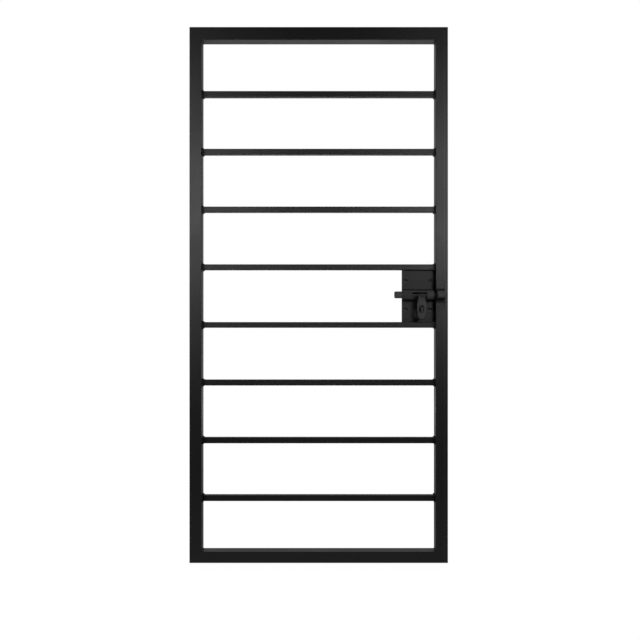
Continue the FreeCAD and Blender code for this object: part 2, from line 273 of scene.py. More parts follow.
dustEffect = {"upRange": (0.25, 0.9), "cloudDetail": 3.0, "cloudRoughness": 0.55,
              "cloudRange": (0.35, 0.7), "cloudEnds": (0.25, 1.0),
              "speckScale": 900.0, "speckDetail": 1.0, "speckRoughness": 0.5,
              "speckRange": (0.45, 0.7), "speckEnds": (0.5, 1.0)}


# Dust: settles where the normal looks up, in soft clouds with fine specks.
def makeDustGroup(effect):
    inputs = {"Vector": noVector, "Normal": noVector, "Cloud Scale": 14.0, "Amount": 0.4}
    group, given, mask = newGroup("settledDust", inputs, "Mask")
    upward = rangeNode(group, splitNode(group, given["Normal"])[zPart], effect["upRange"])
    clouds = noiseNode(group, given["Vector"], given["Cloud Scale"],
                       effect["cloudDetail"], effect["cloudRoughness"])
    cloudMask = rangeNode(group, clouds, effect["cloudRange"], effect["cloudEnds"])
    specks = noiseNode(group, given["Vector"], effect["speckScale"],
                       effect["speckDetail"], effect["speckRoughness"])
    speckMask = rangeNode(group, specks, effect["speckRange"], effect["speckEnds"])
    group.links.new(productOf(group, upward, cloudMask, speckMask, given["Amount"]), mask)
    return group


rubEffect = {"streakScale": 1.0, "streakDetail": 5.0, "streakRoughness": 0.65,
             "streakRange": (0.54, 0.72), "placeScale": 7.0, "placeDetail": 1.0, "placeRoughness": 0.5,
             "placeRange": (0.4, 0.65), "placeEnds": (0.1, 1.0)}


# Handling marks: a noise drawn out along one direction by the stretch, cut to thin streaks.
def makeRubGroup(effect):
    inputs = {"Vector": noVector, "Stretch": (40.0, 40.0, 40.0), "Amount": 0.3}
    group, given, mask = newGroup("rubMarks", inputs, "Mask")
    drawn = vectorNode(group, "MULTIPLY", given["Vector"], given["Stretch"])
    streaks = noiseNode(group, drawn, effect["streakScale"],
                        effect["streakDetail"], effect["streakRoughness"])
    streakMask = rangeNode(group, streaks, effect["streakRange"])
    places = noiseNode(group, given["Vector"], effect["placeScale"],
                       effect["placeDetail"], effect["placeRoughness"])
    placeMask = rangeNode(group, places, effect["placeRange"], effect["placeEnds"])
    group.links.new(productOf(group, streakMask, placeMask, given["Amount"]), mask)
    return group


bandEffect = {"unevenScale": 90.0, "unevenDetail": 3.0, "unevenRoughness": 0.55,
              "unevenRange": (0.3, 0.7), "unevenEnds": (0.85, 1.0)}


# A band, used both for painted shade and for painted highlight: full up to one distance, fading as a
# smooth step to another, and thinned a little by a noise.
def makeBandGroup(effect):
    inputs = {"Vector": noVector, "Distance": 1.0, "Full Width": 0.002, "Fade Width": 0.02,
              "Amount": 0.8}
    group, given, mask = newGroup("markBand", inputs, "Mask")
    fade = rangeNode(group, given["Distance"], (given["Full Width"], given["Fade Width"]), (1.0, 0.0))
    uneven = noiseNode(group, given["Vector"], effect["unevenScale"],
                       effect["unevenDetail"], effect["unevenRoughness"])
    unevenMask = rangeNode(group, uneven, effect["unevenRange"], effect["unevenEnds"])
    group.links.new(productOf(group, fade, unevenMask, given["Amount"]), mask)
    return group


peelGroup = makePeelGroup(peelEffect)
edgeGroup = makeEdgeGroup(edgeEffect)
dustGroup = makeDustGroup(dustEffect)
rubGroup = makeRubGroup(rubEffect)
bandGroup = makeBandGroup(bandEffect)
print("paint effects:", len(bpy.data.node_groups), "groups")


# A band lies about a plane, given by one coordinate, or about a line, given by two. It may be
# limited within another coordinate: none at the first place and whole at the second.
def band(about, full, fade, amount, within=None):
    return {"about": about, "full": full, "fade": fade, "amount": amount, "within": within}


# The bands of a piece: the distance is the size of a coordinate less the plane's place, or the root
# of the squares of two coordinates less the line's places; where bands meet, the stronger is kept.
def bandMask(tree, place, bands):
    parts = splitNode(tree, place)
    total = None
    for mark in bands.values():
        aways = [mathNode(tree, "SUBTRACT", parts[axis], at * mm) for axis, at in mark["about"].items()]
        if len(aways) == 1:
            distance = mathNode(tree, "ABSOLUTE", aways[0])
        else:
            squares = [productOf(tree, away, away) for away in aways]
            distance = mathNode(tree, "SQRT", mathNode(tree, "ADD", *squares))
        mask = placeGroup(tree, bandGroup, {"Vector": place, "Distance": distance},
                          {"Full Width": mark["full"] * mm, "Fade Width": mark["fade"] * mm,
                           "Amount": mark["amount"]})
        if mark["within"]:
            axis, start, end = mark["within"]
            mask = productOf(tree, mask, rangeNode(tree, parts[axis], (start * mm, end * mm)))
        total = mask if total is None else mathNode(tree, "MAXIMUM", total, mask)
    return total


cloudNoise = {"detail": 3.0, "roughness": 0.5, "range": (0.3, 0.7)}


# Satin black paint: two near-blacks in slow clouds, paler thin edges, rub marks that polish the skin,
# dust on what looks up, bands of painted highlight and of painted shade, and orange peel in the normal.
# Painted shade is dark and metallic, and that takes the sheen off the paint under it.
def paintMaterial(name, paint):
    material = bpy.data.materials.new(name)
    material.use_nodes = True
    tree = material.node_tree
    shader = tree.nodes["Principled BSDF"]
    where = tree.nodes.new("ShaderNodeTexCoord")
    place = where.outputs["Object"]
    facing = where.outputs["Normal"]
    clouds = noiseNode(tree, place, paint["cloudScale"], cloudNoise["detail"], cloudNoise["roughness"])
    edges = placeGroup(tree, edgeGroup, {"Vector": place, "Normal": facing},
                       {"Break Scale": paint["edgeBreak"]})
    # Rub marks; on the staple they are made strong and pale as part of its painted highlight.
    rubsAndHighlight = placeGroup(tree, rubGroup, {"Vector": place},
                      {"Stretch": paint["rubStretch"], "Amount": paint["rubAndHighlightAmount"]})
    # Dust on what looks up; on the barrel and keeper it is made heavy and pale, which lights their tops:
    # painted light.
    dustAndTopLight = placeGroup(tree, dustGroup, {"Vector": place, "Normal": facing},
                      {"Amount": paint["dustAndTopLightAmount"]})
    cloudMask = rangeNode(tree, clouds, cloudNoise["range"])
    colour = mixColour(tree, cloudMask, paint["deep"], paint["pale"])
    edgeShare = productOf(tree, edges, paint["edgeAmount"])
    colour = mixColour(tree, edgeShare, colour, paint["edgeColour"])
    colour = mixColour(tree, rubsAndHighlight, colour, paint["rubAndHighlightColour"])
    colour = mixColour(tree, dustAndTopLight, colour, paint["dustAndTopLightColour"])
    # Painted highlight: bands where the paint is made paler, standing in for light falling there.
    if paint["paintedHighlight"]:
        paintedHighlight = bandMask(tree, place, paint["paintedHighlight"])
        colour = mixColour(tree, paintedHighlight, colour, paint["paintedHighlightColour"])
    # Painted shade: bands where the paint is made dark and metallic, standing in for shade in corners,
    # gaps and under parts.
    if paint["paintedShade"]:
        paintedShade = bandMask(tree, place, paint["paintedShade"])
        colour = mixColour(tree, paintedShade, colour, paint["paintedShadeColour"])
        tree.links.new(paintedShade, shader.inputs["Metallic"])
    tree.links.new(colour, shader.inputs["Base Color"])
    rough = rangeNode(tree, clouds, cloudNoise["range"], paint["roughness"])
    rough = mathNode(tree, "SUBTRACT", rough, productOf(tree, rubsAndHighlight, paint["rubPolish"]))
    rough = mathNode(tree, "ADD", rough, productOf(tree, dustAndTopLight, paint["dustDull"]))
    tree.links.new(rough, shader.inputs["Roughness"])
    shader.inputs["Specular IOR Level"].default_value = paint["gloss"]
    peel = placeGroup(tree, peelGroup, {"Vector": place},
                      {"Fine Scale": paint["peelScale"], "Slow Scale": paint["flowScale"],
                       "Slow Share": paint["flowShare"]})
    bump = tree.nodes.new("ShaderNodeBump")
    bump.inputs["Strength"].default_value = 1.0
    bump.inputs["Distance"].default_value = paint["peelDepth"] * mm
    tree.links.new(peel, bump.inputs["Height"])
    tree.links.new(bump.outputs["Normal"], shader.inputs["Normal"])
    return material


# A grey with a little more blue than red and green.
def coolGrey(level, blue=0.0005):
    return (level, level, level + blue)


framePaintLook = {
    "deep": coolGrey(0.026), "pale": coolGrey(0.033), "cloudScale": 5.0,
    "edgeColour": coolGrey(0.05, 0.001), "edgeAmount": 0.55, "edgeBreak": 30.0,
    "rubAndHighlightColour": coolGrey(0.042, 0.001), "rubAndHighlightAmount": 0.3, "rubPolish": 0.05,
    "rubStretch": (180.0, 180.0, 7.0),
    "dustAndTopLightColour": (0.11, 0.105, 0.098), "dustAndTopLightAmount": 0.16, "dustDull": 0.3,
    "roughness": (0.47, 0.53), "gloss": 0.34,
    "peelScale": 420.0, "flowScale": 70.0, "flowShare": 0.5, "peelDepth": 0.012,
    "paintedShade": {}, "paintedShadeColour": (0.002, 0.002, 0.002),
    "paintedHighlight": {}, "paintedHighlightColour": coolGrey(0.1, 0.001),
}
# Painted highlight: a pale strip along the lock stile's outer front edge, standing in for light on its
# rounded corner.
lockStilePaintLook = dict(
    framePaintLook,
    paintedHighlight={"stileEdgeHighlight": band({xPart: lockHigh[0] - 13.5}, full=0.5, fade=3.2, amount=0.28,
                             within=(yPart, 0.0, -10.0))})
railPaintLook = dict(framePaintLook, rubStretch=(7.0, 180.0, 180.0))
# The bars are painted a little paler than the frame to match their lit brightness, and painted shade
# darkens their ends towards both stiles.
barPaintLook = dict(
    railPaintLook, cloudScale=7.0, gloss=0.28, deep=coolGrey(0.0285), pale=coolGrey(0.0355),
    paintedShade={"hingeEnd": band({xPart: hingeHigh[0]}, full=0.0, fade=26.0, amount=0.73),
           "lockEnd": band({xPart: lockLow[0]}, full=0.0, fade=22.0, amount=0.48)})
beadPaintLook = dict(framePaintLook, cloudScale=60.0, edgeAmount=0.1, rubAndHighlightAmount=0.0,
                     roughness=(0.5, 0.56), peelScale=700.0, peelDepth=0.008)
# The beads at the bar ends are painted darker than the other beads: painted shade where the bars meet
# the stiles.
barBeadPaintLook = dict(beadPaintLook, gloss=0.2, deep=coolGrey(0.017, 0.0002),
                        pale=coolGrey(0.022, 0.0003))

# The lock's copies of the black paint are made paler than the frame's, each to the brightness its light
# gives it: painted light.
lockPaintLook = dict(framePaintLook, cloudScale=18.0, edgeBreak=60.0, edgeAmount=0.7,
                     rubStretch=(30.0, 220.0, 220.0), rubAndHighlightAmount=0.4, peelScale=520.0,
                     roughness=(0.6, 0.68), gloss=0.16, deep=coolGrey(0.058), pale=coolGrey(0.067))
# Painted shade on the lock plate: beside the lock stile, over and under the barrel, in a run left of the
# hasp, and round the staple.
platePaintLook = dict(
    lockPaintLook,
    paintedShade={"stileCorner": band({xPart: lockLow[0]}, full=3.5, fade=17.0, amount=0.94),
           "overBarrel": band({zPart: boltZ + 17.0}, full=2.5, fade=9.0, amount=0.9),
           "underBarrel": band({zPart: boltZ - 17.0}, full=3.0, fade=12.0, amount=0.37),
           "haspShadowRun": band({xPart: haspX - 13.0}, full=5.0, fade=13.0, amount=0.57,
                             within=(zPart, boltZ - 12.0, boltZ - 22.0)),
           "roundStaple": band({xPart: stapleHigh[0], zPart: boltZ - 55.0}, full=12.0, fade=22.0,
                               amount=0.7)})
# The barrel is painted paler than the plate, and its heavy pale dust lights its top: painted light.
# Painted shade lies either side of the tang and at its mouth, and a painted highlight lies low near its
# right end.
barrelPaintLook = dict(
    lockPaintLook, deep=coolGrey(0.064), pale=coolGrey(0.074),
    dustAndTopLightColour=(0.2, 0.195, 0.185), dustAndTopLightAmount=0.55, paintedHighlightColour=coolGrey(0.13, 0.001),
    paintedShade={"leftOfTang": band({xPart: haspX - 14.0}, full=4.0, fade=22.0, amount=0.72,
                              within=(zPart, boltZ - 3.0, boltZ - 9.0)),
           "rightOfTang": band({xPart: haspX + 18.5}, full=1.5, fade=8.0, amount=0.68,
                               within=(zPart, boltZ - 3.0, boltZ - 10.0)),
           "mouth": band({xPart: barrelHigh[0]}, full=2.0, fade=7.0, amount=0.93)},
    paintedHighlight={"barrelEndHighlight": band({xPart: barrelHigh[0] - 16.5}, full=8.0, fade=17.0, amount=0.42,
                          within=(zPart, boltZ - 13.0, boltZ - 1.0))})
# The keeper is painted paler, and its heavy pale dust lights its top: painted light. Painted shade lies
# over and under its bend, on its low flange and at its mouth.
keeperPaintLook = dict(
    lockPaintLook, deep=coolGrey(0.088), pale=coolGrey(0.102),
    dustAndTopLightColour=(0.2, 0.195, 0.185), dustAndTopLightAmount=0.5,
    paintedShade={"overBend": band({zPart: boltZ + 20.0}, full=1.8, fade=5.8, amount=0.92),
           "underBend": band({zPart: boltZ - 21.0}, full=5.0, fade=16.0, amount=0.88),
           "lowFlange": band({zPart: boltZ - 42.0}, full=12.0, fade=20.0, amount=0.3),
           "mouth": band({xPart: keeperLow[0]}, full=1.5, fade=7.5, amount=0.75)})
# A painted highlight: the staple is painted much paler than the other lock parts, with strong pale rubs,
# standing in for the light on it.
staplePaintLook = dict(lockPaintLook, deep=coolGrey(0.13), pale=coolGrey(0.155),
                       rubAndHighlightAmount=0.7, rubAndHighlightColour=coolGrey(0.19, 0.001))
screwPaintLook = dict(lockPaintLook, cloudScale=120.0, rubStretch=(90.0, 90.0, 90.0), edgeAmount=0.5,
                      roughness=(0.3, 0.36), gloss=0.28, deep=coolGrey(0.006, 0.0002),
                      pale=coolGrey(0.01, 0.0002), rubAndHighlightColour=coolGrey(0.02))
# The bolt is painted paler to match its lit brightness. Painted shade darkens it in the gap before the
# keeper, in its groove inside the barrel, along the slot and where it enters the barrel.
boltPaintLook = dict(
    lockPaintLook, rubStretch=(14.0, 320.0, 320.0), rubAndHighlightAmount=0.55, rubAndHighlightColour=coolGrey(0.13, 0.001),
    rubPolish=0.1, edgeAmount=0.8, deep=coolGrey(0.106), pale=coolGrey(0.124),
    paintedShade={"beforeKeeper": band({xPart: (barrelHigh[0] + keeperLow[0]) / 2.0}, full=3.2, fade=5.0,
                                amount=0.93),
           "inGroove": band({yPart: boltY, zPart: boltZ}, full=11.4, fade=12.7, amount=0.92,
                            within=(xPart, barrelLow[0] - 6.5, barrelLow[0] - 0.5)),
           "inSlot": band({xPart: haspX + 7.0}, full=42.0, fade=45.5, amount=0.4),
           "atBarrel": band({xPart: barrelLow[0] - 1.5}, full=2.0, fade=6.0, amount=0.32)})
# The hasp is painted paler to match its lit brightness, and painted shade darkens its neck under the
# pin.
haspPaintLook = dict(
    boltPaintLook, rubStretch=(260.0, 260.0, 26.0), deep=coolGrey(0.096), pale=coolGrey(0.112),
    paintedShade={"underPin": band({zPart: boltZ - 4.0}, full=6.0, fade=34.0, amount=0.3)})

paintLooks = {
    "satinBlackFrame": framePaintLook, "satinBlackLockStile": lockStilePaintLook,
    "satinBlackBar": barPaintLook, "satinBlackRail": railPaintLook, "satinBlackLock": lockPaintLook,
    "satinBlackPlate": platePaintLook, "satinBlackBarrel": barrelPaintLook,
    "satinBlackKeeper": keeperPaintLook, "paintedLitStaple": staplePaintLook,
    "satinBlackBolt": boltPaintLook, "satinBlackHasp": haspPaintLook, "satinBlackBead": beadPaintLook,
    "satinBlackBarBead": barBeadPaintLook, "satinBlackScrew": screwPaintLook,
}
paints = {name: paintMaterial(name, look) for name, look in paintLooks.items()}

# The crossbars are not listed and take the bar paint.
nodePaint = {
    "hinge_stile": "satinBlackFrame", "lock_stile": "satinBlackLockStile",
    "bottom_rail": "satinBlackRail", "top_rail": "satinBlackRail",
    "mounting_plate": "satinBlackLock", "lock_plate": "satinBlackPlate",
    "barrel_foot_left": "satinBlackLock", "barrel_foot_right": "satinBlackLock",
    "bolt_barrel": "satinBlackBarrel", "keeper_strap": "satinBlackKeeper",
    "padlock_staple": "paintedLitStaple", "slide_bolt": "satinBlackBolt",
    "hasp_tang": "satinBlackBolt", "hasp_pin": "satinBlackBolt", "hasp": "satinBlackHasp",
}
for nodeName, nodeObject in frame["nodes"].items():
    material = paints[nodePaint.get(nodeName, "satinBlackBar")]
    if not nodeObject.material_slots:
        nodeObject.data.materials.append(material)
    for materialSlot in nodeObject.material_slots:
        materialSlot.material = material
print("paints:", len(paints), "materials on", len(frame["nodes"]), "nodes")

cornerPoints = 13  # on each corner arc, before the path is re-spaced


# A closed path round a bar: four corner arcs joined by straight runs, then re-spaced by length.
# Gives points and outward normals in the plane, each point's share of the way round, and the length.
def roundedPath(halfWide, halfHigh, corner, count):
    quarter = np.linspace(0.0, 0.25, cornerPoints) * fullTurn
    angles = np.concatenate([quarter + k * 0.25 * fullTurn for k in range(4)])
    normals = np.stack([np.cos(angles), np.sin(angles)], axis=-1)
    signs = np.repeat(np.array([[1, 1], [-1, 1], [-1, -1], [1, -1]]), cornerPoints, axis=0)
    centres = signs * np.array([halfWide - corner, halfHigh - corner])
    points = centres + corner * normals
    points = np.concatenate([points, points[:1]])
    normals = np.concatenate([normals, normals[:1]])
    steps = np.linalg.norm(np.diff(points, axis=0), axis=1)
    length = np.concatenate([[0.0], np.cumsum(steps)])
    share = np.arange(count) / count
    at = share * length[-1]
    spaced = np.stack([np.interp(at, length, points[:, k]) for k in range(2)], axis=-1)
    outward = np.stack([np.interp(at, length, normals[:, k]) for k in range(2)], axis=-1)
    outward /= np.linalg.norm(outward, axis=1, keepdims=True)
    return spaced, outward, share, float(length[-1])


# Bead ripples: each is a low dome, flat on top and sharp where two meet, and its front
# trails back towards the toes as the square of the distance from the crown.
def rippleDome(along, across, trail):
    phase = along - trail * (2.0 * across - 1.0) ** 2
    return 1.0 - np.abs(2.0 * (phase % 1.0) - 1.0) ** 3


# What the beads share, in millimetres, points, shares and degrees.
weldBead = {"sink": 0.4, "trail": 0.45, "arcPoints": 9, "leastPoints": 24, "ripplePoints": 9,
            "leastTaper": 0.02, "sharpAngle": 50.0, "seed": 7}
beadRandom = np.random.default_rng(weldBead["seed"])


# Fillet bead: a quarter ellipse between two legs carried along the path, its legs swelling
# with the ripples and a slow wander, and its heel sunk into both faces.
def beadGrid(path, outward, upward, alongMm, bead, taper):
    across = np.linspace(0.0, 1.0, bead["arcPoints"])
    ripple = rippleDome(alongMm[:, None] / bead["pitch"], across[None, :], bead["trail"])
    wanderStart = beadRandom.uniform(0.0, fullTurn)
    wander = 0.5 * np.sin(alongMm / bead["wanderLength"] * fullTurn + wanderStart)
    swell = 1.0 + bead["wander"] * wander[:, None] + bead["ripple"] * (ripple - 0.5)
    swell = swell * taper[:, None]
    angle = across * 0.25 * fullTurn
    outLeg = bead["outLeg"] * np.cos(angle)[None, :] * swell
    upLeg = bead["upLeg"] * np.sin(angle)[None, :] * swell
    sunk = np.full(len(path), -bead["sink"])
    heelOut = np.stack([sunk, sunk, bead["outLeg"] * taper], axis=-1)
    heelUp = np.stack([bead["upLeg"] * taper, sunk, sunk], axis=-1)
    outLeg = np.concatenate([outLeg, heelOut], axis=1)
    upLeg = np.concatenate([upLeg, heelUp], axis=1)
    outPart = outLeg[:, :, None] * outward[:, None, :]
    upPart = upLeg[:, :, None] * upward[:, None, :]
    return path[:, None, :] + outPart + upPart


# A bead all round a post that stands on a face: the fillet follows the post's rounded outline.
# The ripples and the wander are fitted to the way round, so that the bead closes on itself.
def ringBead(centre, halfWide, halfHigh, corner, wideAxis, highAxis, riseAxis, bead):
    flat, normal, share, length = roundedPath(halfWide, halfHigh, corner, bead["pathPoints"])
    ripples = round(length / bead["pitch"])
    waves = max(1, round(length / bead["wanderLength"]))
    closedBead = dict(bead, pitch=length / ripples, wanderLength=length / waves)
    axes = np.stack([wideAxis, highAxis])
    path = np.asarray(centre) + flat @ axes
    upward = np.tile(riseAxis, (len(path), 1))
    along = share * length + beadRandom.uniform(0.0, closedBead["pitch"])
    return beadGrid(path, normal @ axes, upward, along, closedBead, np.ones(len(path)))


# A straight bead in the corner of two faces, its ends rounded off by a half circle of taper.
def lineBead(start, finish, outAxis, riseAxis, bead):
    start, finish = np.asarray(start), np.asarray(finish)
    length = float(np.linalg.norm(finish - start))
    count = max(bead["leastPoints"], int(length / bead["pitch"] * bead["ripplePoints"]))
    share = np.linspace(0.0, 1.0, count)
    path = start + share[:, None] * (finish - start)
    along = share * length + beadRandom.uniform(0.0, bead["pitch"])
    fromEnd = np.clip(np.minimum(share, 1.0 - share) * length / bead["endTaper"], 0.0, 1.0)
    taper = np.sqrt(np.clip(1.0 - (1.0 - fromEnd) ** 2, bead["leastTaper"], 1.0))
    outward = np.tile(outAxis, (count, 1))
    upward = np.tile(riseAxis, (count, 1))
    return beadGrid(path, outward, upward, along, bead, taper)


barBead = dict(weldBead, outLeg=3.9, upLeg=6.2, pitch=3.6, ripple=0.22, wander=0.12, wanderLength=31.0,
               pathPoints=220, barCorner=2.2)
barCount = sum(name.startswith("crossbar_") for name in frame["nodes"])
for number in range(1, barCount + 1):
    centre, half = centreAndHalf(f"crossbar_{number}")
    beads = [ringBead(centre - half * rise, half[1], half[2], barBead["barCorner"],
                      axisY, axisZ, rise, barBead)
             for rise in (axisX, -axisX)]
    piece = surfaceObject(f"bar_{number}_end_beads", beads, True, barBead["sharpAngle"])
    finishPiece(piece, "door", paints["satinBlackBarBead"])
print("bar end beads made on", barCount, "bars")

cornerBead = dict(weldBead, outLeg=3.2, upLeg=3.2, pitch=3.4, ripple=0.2, wander=0.1, wanderLength=23.0,
                  endTaper=4.0, edgeClear=4.0)
nearY = hingeLow[1] + cornerBead["edgeClear"]
farY = hingeHigh[1] - cornerBead["edgeClear"]
bottomEdge = boxMm("bottom_rail")[1][2]
topEdge = boxMm("top_rail")[0][2]
beads = []
for x, outAxis in ((hingeHigh[0], axisX), (lockLow[0], -axisX)):
    for z, rise in ((bottomEdge, axisZ), (topEdge, -axisZ)):
        beads.append(lineBead((x, nearY, z), (x, farY, z), outAxis, rise, cornerBead))
piece = surfaceObject("frame_corner_beads", beads, False, cornerBead["sharpAngle"])
finishPiece(piece, "door", paints["satinBlackBead"])

plateBead = dict(weldBead, outLeg=4.0, upLeg=4.0, pitch=3.8, ripple=0.24, wander=0.12, wanderLength=27.0,
                 endTaper=5.0, barRun=40.0, leftInset=11.5, rightInset=10.0,
                 stileRun=46.0, stileInset=24.5)
backLow, backHigh = boxMm("mounting_plate")
backY = backHigh[1]
leftX = backLow[0] + plateBead["leftInset"]
rightX = backHigh[0] - plateBead["rightInset"]
footZ = backLow[2] + plateBead["stileInset"]
headZ = backHigh[2] - plateBead["stileInset"]
beads = []
for first, last in ((leftX, leftX + plateBead["barRun"]), (rightX - plateBead["barRun"], rightX)):
    for z, rise in ((backLow[2], axisZ), (backHigh[2], -axisZ)):
        beads.append(lineBead((first, backY, z), (last, backY, z), axisY, rise, plateBead))
for first, last in ((footZ, footZ + plateBead["stileRun"]), (headZ - plateBead["stileRun"], headZ)):
    ends = [(backHigh[0], backY, z) for z in (first, last)]
    beads.append(lineBead(*ends, -axisX, axisY, plateBead))
piece = surfaceObject("mounting_plate_beads", beads, False, plateBead["sharpAngle"])
finishPiece(piece, "door", paints["satinBlackBead"])

smallBead = dict(weldBead, outLeg=2.4, upLeg=2.4, sink=0.3, pitch=2.6, ripple=0.2, trail=0.4, wander=0.1,
                 wanderLength=17.0, arcPoints=8, pathPoints=150, stapleRadius=4.0, footCorner=0.6)
plateLow, plateHigh = boxMm("lock_plate")
lockFront = plateLow[1]
beads = []
for node in ("barrel_foot_left", "barrel_foot_right"):
    centre, half = centreAndHalf(node)
    beads.append(ringBead((centre[0], lockFront, centre[2]), half[0], half[2], smallBead["footCorner"],
                          axisX, axisZ, -axisY, smallBead))
stapleX = (stapleLow[0] + stapleHigh[0]) / 2.0
radius = smallBead["stapleRadius"]
for legZ in (stapleLow[2] + radius, stapleHigh[2] - radius):
    beads.append(ringBead((stapleX, lockFront, legZ), radius, radius, radius,
                          axisX, axisZ, -axisY, smallBead))
piece = surfaceObject("lock_beads", beads, True, smallBead["sharpAngle"])
finishPiece(piece, "door", paints["satinBlackBead"])
print("frame, plate and lock beads made")

openRound = 99.0  # wider than any hexagon or round here, so it sets no limit


# A station of a turned form: a depth, the distance to a hexagon's flats, a round limit
# and the share of the thread's depth that is cut there.
def hexStation(depth, flats, limit=openRound):
    return (depth, flats, limit, 0.0)


def roundStation(depth, radius, threaded=0.0):
    return (depth, openRound, radius, threaded)


# The same stations in the opposite order, measured down from the given height.
def upsideDown(stations, high):
    return [(high - depth, *rest) for depth, *rest in reversed(stations)]


# A turned form about the front-to-back axis: at each station the radius is the smaller of the
# hexagon and the round. A screw thread takes a triangular wave off the radius, its phase going
# once round for each pitch of depth.
def turnedGrid(stations, centre, screw):
    depth, flats, limit, threaded = np.array(stations).T
    theta = np.arange(screw["angles"]) / screw["angles"] * fullTurn
    sixth = fullTurn / 6.0
    hexagon = 1.0 / np.cos((theta + sixth / 2.0) % sixth - sixth / 2.0)
    radius = np.minimum(flats[:, None] * hexagon[None, :], limit[:, None])
    turn = depth[:, None] / screw["pitch"] - theta[None, :] / fullTurn
    wave = np.abs(2.0 * (turn % 1.0) - 1.0)
    radius = radius - screw["threadDepth"] * threaded[:, None] * wave
    x = centre[0] + radius * np.cos(theta)[None, :]
    z = centre[2] + radius * np.sin(theta)[None, :]
    y = centre[1] + np.broadcast_to(depth[:, None], radius.shape)
    return np.stack([x, y, z], axis=-1)


# Head of a countersunk screw: a hexagon socket with a sloped floor and a bevelled mouth,
# a face dished towards the socket, a rounded rim and a cone down to the shank.
def headStations(screw):
    head, flats, mouth = screw["headRadius"], screw["socketFlats"], screw["socketEdge"]
    shoulderDepth, shoulderIn = screw["rimShoulder"]
    return [hexStation(screw["socketDepth"], flats * screw["socketFloor"]),
            hexStation(screw["socketDepth"] - screw["socketSlope"], flats),
            hexStation(screw["dish"] + mouth, flats),
            hexStation(screw["dish"], flats + mouth),
            roundStation(0.0, head - screw["rimIn"]),
            roundStation(shoulderDepth, head - shoulderIn),
            roundStation(screw["rimDepth"], head),
            roundStation(screw["rimDepth"] + screw["coneDepth"], screw["shank"])]


# The threaded end runs from the back of the plate to a chamfered tip.
def threadStations(screw, start):
    end = start + screw["reach"] - screw["tipChamfer"]
    thread = [roundStation(depth, screw["shank"], 1.0)
              for depth in np.linspace(start, end, screw["threadSteps"])]
    return thread + [roundStation(end + screw["tipChamfer"], screw["shank"] - screw["tipChamfer"])]


# A washer: a flat ring with a small bevel on both outer edges.
def washerStations(screw):
    inner = screw["shank"] + screw["washerGap"]
    outer, high, edge = screw["washerRadius"], screw["washerHigh"], screw["washerEdge"]
    low = [roundStation(0.0, inner), roundStation(0.0, outer - edge), roundStation(edge, outer)]
    return low + upsideDown(low, high)


# A nut: the hexagon, with its corners turned off in two steps at both ends. Between them
# the round limit stands a little outside the corners, so that it cuts nothing.
def nutStations(screw):
    flats, high, chamfer = screw["nutFlats"], screw["nutHigh"], screw["nutChamfer"]
    corner = flats / math.cos(math.pi / 6.0)
    whole = corner + screw["nutSpare"]
    low = [roundStation(0.0, screw["shank"] + screw["nutMouth"]),
           hexStation(0.0, flats, flats - screw["nutFaceIn"]),
           hexStation(chamfer * screw["nutStep"], flats, (flats + corner) / 2.0),
           hexStation(chamfer, flats, whole)]
    return low + [hexStation(high / 2.0, flats, whole)] + upsideDown(low, high)


plateScrew = {
    "headSink": 1.4, "headRadius": 5.85, "dish": 0.4, "coneDepth": 1.85, "shank": 4.0,
    "rimIn": 0.35, "rimShoulder": (0.12, 0.08), "rimDepth": 0.4,
    "socketFlats": 2.5, "socketDepth": 2.6, "socketEdge": 0.35, "socketFloor": 0.5, "socketSlope": 0.4,
    "reach": 10.6, "tipChamfer": 1.0, "pitch": 1.25, "threadDepth": 0.5, "threadSteps": 90,
    "washerRadius": 8.0, "washerHigh": 1.6, "washerEdge": 0.25, "washerGap": 0.25,
    "nutFlats": 6.5, "nutHigh": 6.5, "nutChamfer": 0.7, "nutMouth": 0.4, "nutFaceIn": 0.1,
    "nutStep": 0.4, "nutSpare": 0.02, "angles": 48, "sharpAngle": 32.0,
    "leftInset": 14.5, "rightInset": 17.0, "footInset": 47.0, "headInset": 40.0,
}
headY = lockFront + plateScrew["headSink"]
nutY = backY + plateScrew["washerHigh"]
screwStations = headStations(plateScrew) + threadStations(plateScrew, backY - headY)
screwColumns = (plateLow[0] + plateScrew["leftInset"], plateHigh[0] - plateScrew["rightInset"])
screwRows = (plateLow[2] + plateScrew["footInset"], plateHigh[2] - plateScrew["headInset"])
screwPlaces = [(x, z) for x in screwColumns for z in screwRows]
turnedPieces = (("plate_screws", screwStations, headY, False),
                ("plate_washers", washerStations(plateScrew), backY, True),
                ("plate_nuts", nutStations(plateScrew), nutY, True))
for name, stations, y, loopRows in turnedPieces:
    grids = [turnedGrid(stations, (x, y, z), plateScrew) for x, z in screwPlaces]
    piece = surfaceObject(name, grids, loopRows, plateScrew["sharpAngle"])
    finishPiece(piece, "door", paints["satinBlackScrew"])

keeperScrew = {
    "headSink": 0.2, "headRadius": 5.0, "dish": 0.0, "coneDepth": 2.0, "shank": 2.9,
    "rimIn": 0.3, "rimShoulder": (0.1, 0.08), "rimDepth": 0.35,
    "socketFlats": 1.9, "socketDepth": 1.7, "socketEdge": 0.25, "socketFloor": 0.5, "socketSlope": 0.3,
    "reach": 5.0, "pitch": 1.0, "threadDepth": 0.0, "angles": 40, "sharpAngle": 32.0,
    "flange": 3.5, "endInset": 15.0,
}
keeperX = (keeperLow[0] + keeperHigh[0]) / 2.0
keeperY = lockLow[1] - keeperScrew["flange"] + keeperScrew["headSink"]
stations = headStations(keeperScrew) + [roundStation(keeperScrew["reach"], keeperScrew["shank"])]
grids = [turnedGrid(stations, (keeperX, keeperY, z), keeperScrew)
         for z in (keeperLow[2] + keeperScrew["endInset"], keeperHigh[2] - keeperScrew["endInset"])]
piece = surfaceObject("keeper_screws", grids, False, keeperScrew["sharpAngle"])
finishPiece(piece, "door", paints["satinBlackKeeper"])
print("screws, washers and nuts made")

